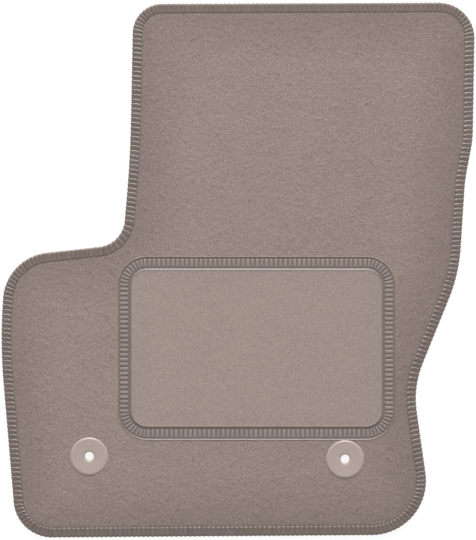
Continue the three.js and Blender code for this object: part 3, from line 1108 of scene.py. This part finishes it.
def make_flange(side):
    """Dished disc on top, with its barrel through the mat."""
    centre, radius = FIXINGS[side], DISC_RADIUS
    piece = turned(f"{side}_fixing_flange", centre, [
        (STUD_HOLE, 2.6, 0.2),
        (9.5, 2.6, 0.4),
        (9.5, 7.6, 0.4),
        (radius - 0.6, 7.6, 0.3),
        (radius, 8.3, 0.3),
        (radius, 9.45, 0.3),
        (radius - 1.9, 10.6, 0.5),
        (radius - 4, 10.45, 3),
        (8.4, 10.0, 2.0),
        (STUD_HOLE + 1, 9.9, 0.4),
        (STUD_HOLE, 9.0, 0.5),
    ], fixing_plastic)
    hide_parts(f"{side}_fixing_upper_disc")


def sunk_panels(radius, height, angle):
    """Twelve shallow panels in the counter disc's underside."""
    face = smooth(radius, 12.5, 13.5) * (1 - smooth(radius, 18, 19)) * (height < 0.2)
    return radius, height + 0.4 * face * (np.cos(12 * angle) > 0)


def make_counter_disc(side):
    """Disc underneath, with a collar that grips the barrel."""
    piece = turned(f"{side}_fixing_counter_disc", FIXINGS[side], [
        (STUD_HOLE, 0.0, 0.3),
        (12.6, 0.0, 0.1),
        (16, 0.0, 0.1),
        (19, 0.0, 0.1),
        (21.0, 0.0, 0.5),
        (21.0, 1.3, 0.3),
        (12.0, 1.3, 0.3),
        (12.0, 6.6, 0.4),
        (9.8, 6.6, 0.4),
        (9.8, 1.2, 0.2),
        (STUD_HOLE, 1.2, 0.3),
    ], dark_plastic, sunk_panels)
    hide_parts(f"{side}_fixing_lower_disc")


def spring_teeth(radius, height, angle):
    """Ten gaps in the ring's inner rim leave ten teeth that grip the stud."""
    inner = 1 - smooth(radius, 6.4, 7.6)
    return radius + 0.55 * inner * (0.5 - 0.5 * np.cos(10 * angle)), height


def make_spring(side):
    piece = turned(f"{side}_fixing_spring", FIXINGS[side], [
        (6.4, 1.6, 0.1),
        (7.8, 1.5, 0.2),
        (9.2, 1.5, 0.2),
        (9.2, 2.3, 0.2),
        (7.8, 2.3, 0.2),
        (6.4, 2.0, 0.1),
    ], steel, spring_teeth)
    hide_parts(f"{side}_fixing_spring_ring")


for side in FIXINGS:
    make_flange(side)
    make_counter_disc(side)
    make_spring(side)


# ---- Underside ----

BASE_HEIGHT = 0.9           # the rubber's underside between its nubs
BACKING_STEP = 4            # spacing of the points in its rings
NUB_PITCH = 9.0
NUB_SIDES = 8
NUB_PROFILE = ((1.7, BASE_HEIGHT + 0.15), (1.1, 0.25), (0.8, 0.02))  # radii and heights, downwards

# Steps in the underside: for the bobbin thread, a counter disc and the overlock. Each has its
# start and end, measured inside the border's line, from the disc's centre and from the outline.
CHANNEL_STEPS = ((3.2, 4.0), (12.6, 13.4))
RECESS_STEP = (21.2, 21.9)
RIM_STEP = (10.2, 10.8)


def backing_bottom(xy):
    inside = -border_distance(xy)
    channel = smooth(inside, *CHANNEL_STEPS[0]) * (1 - smooth(inside, *CHANNEL_STEPS[1]))
    recess = 1 - smooth(fixing_distance(xy), *RECESS_STEP)
    rim = 1 - smooth(edge_distance(xy), *RIM_STEP)
    return BASE_HEIGHT + np.maximum(0.5 * channel, 0.75 * np.maximum(recess, rim))


def nub_places():
    spots = jittered_grid(mat.points.min(0), mat.points.max(0), NUB_PITCH, 0.0)
    inside = -border_distance(spots)
    spots = spots[(inside < 1.5) | (inside > 15)]
    spots = spots[fixing_distance(spots) > 24]
    return spots[inside_mat(spots, 13)]


def nubs(spots, first):
    """Closed nubs with tapered sides. Their vertices are numbered from first."""
    verts, tris = [], []
    for radius, height in NUB_PROFILE:
        points = (spots[:, None] + radius * regular_polygon(NUB_SIDES)[None]).reshape(-1, 2)
        verts.append(np.column_stack([points, np.full(len(points), height)]))
    shape = (len(NUB_PROFILE), len(spots), NUB_SIDES)
    here = first + np.arange(math.prod(shape)).reshape(shape)
    beside = np.roll(here, -1, axis=2)
    quads = np.stack([here[:-1], here[1:], beside[1:], beside[:-1]], axis=-1).reshape(-1, 4)
    rim, tip = here[0, :, 0], here[-1, :, 0]
    for j in range(1, NUB_SIDES - 1):
        tris.append(np.column_stack([tip, tip + j + 1, tip + j]))
        tris.append(np.column_stack([rim, rim + j, rim + j + 1]))
    return verts, quads, tris


def make_backing():
    """The rubber: flat on top, stepped underneath, with nubs sunk a little into its underside."""
    loops = [mat.ring(LAYER_INSET, BACKING_STEP), *fixing_holes()]
    rings = [mat.ring(inset, BACKING_STEP) for inset in RIM_STEP]
    rings += [border.ring(inset, BACKING_STEP) for step in CHANNEL_STEPS for inset in step]
    rings += [circle(centre, r, 64) for centre in FIXINGS.values() for r in RECESS_STEP]
    xy, faces, low_rings = triangulate(np.vstack(rings), loops)
    top_xy, top_faces, top_rings = triangulate(np.empty((0, 2)), loops)
    lower = np.column_stack([xy, backing_bottom(xy)])
    upper = np.column_stack([top_xy, np.full(len(top_xy), backing_high[2])])
    shift = len(lower)
    walls = ring_walls(low_rings, [ring + shift for ring in top_rings])
    verts, quads, tris = nubs(nub_places(), shift + len(upper))
    verts = np.vstack([lower, upper, *verts])
    tris = np.vstack([faces[:, ::-1], top_faces + shift, *tris])
    piece = make_piece("nubbed_backing", verts, np.vstack([walls, quads]), tris, rubber, False)
    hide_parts("anti_slip_backing")
    return piece


ZIGZAG_SPREAD = 6.0


def make_bobbin_thread():
    """Zigzag of the satin stitch's lower thread, in its channel."""
    positions = turns_along(border, BORDER_PITCH)
    count, steps = len(positions), 7
    sag = 0.25 * np.sin(np.linspace(0, np.pi, steps))
    path = np.column_stack([np.linspace(4.2, 12.4, steps), 0.95 - sag])
    frames = []
    for lean in (-0.25, 0.25):
        places = positions + lean * ZIGZAG_SPREAD
        frames.append(wrap_frames(border, places, path, np.full(count, lean)))
    joined = [np.concatenate(parts) for parts in zip(*frames)]
    size = np.full((2 * count, steps), 0.38)
    piece = strands("satin_stitch_bobbin_thread", *joined, regular_polygon(6), size, size,
                    sewing_thread)
    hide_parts("heel_pad_bobbin_thread")
    return piece


backing = make_backing()
bobbin_thread = make_bobbin_thread()


# ---- Cut outlines of the sheets ----

def polygon_area(points):
    x, y = points[:, 0], points[:, 1]
    return abs(np.dot(x, np.roll(y, -1)) - np.dot(y, np.roll(x, -1))) / 2


def declare_sheet(cut):
    """Works out the area of the sheet's cut and keeps nothing of it. The cut is the sheet's flat
    outline, since each lies flat.
    """
    polygon_area(cut) * MM * MM


carpet_cut = mat.ring(LAYER_INSET, CARPET_OUTLINE_STEP)
declare_sheet(carpet_cut)
pad_cut = border.ring(TONGUE, PANEL_OUTLINE_STEP)
declare_sheet(pad_cut)
backing_cut = mat.ring(LAYER_INSET, BACKING_STEP)
declare_sheet(backing_cut)
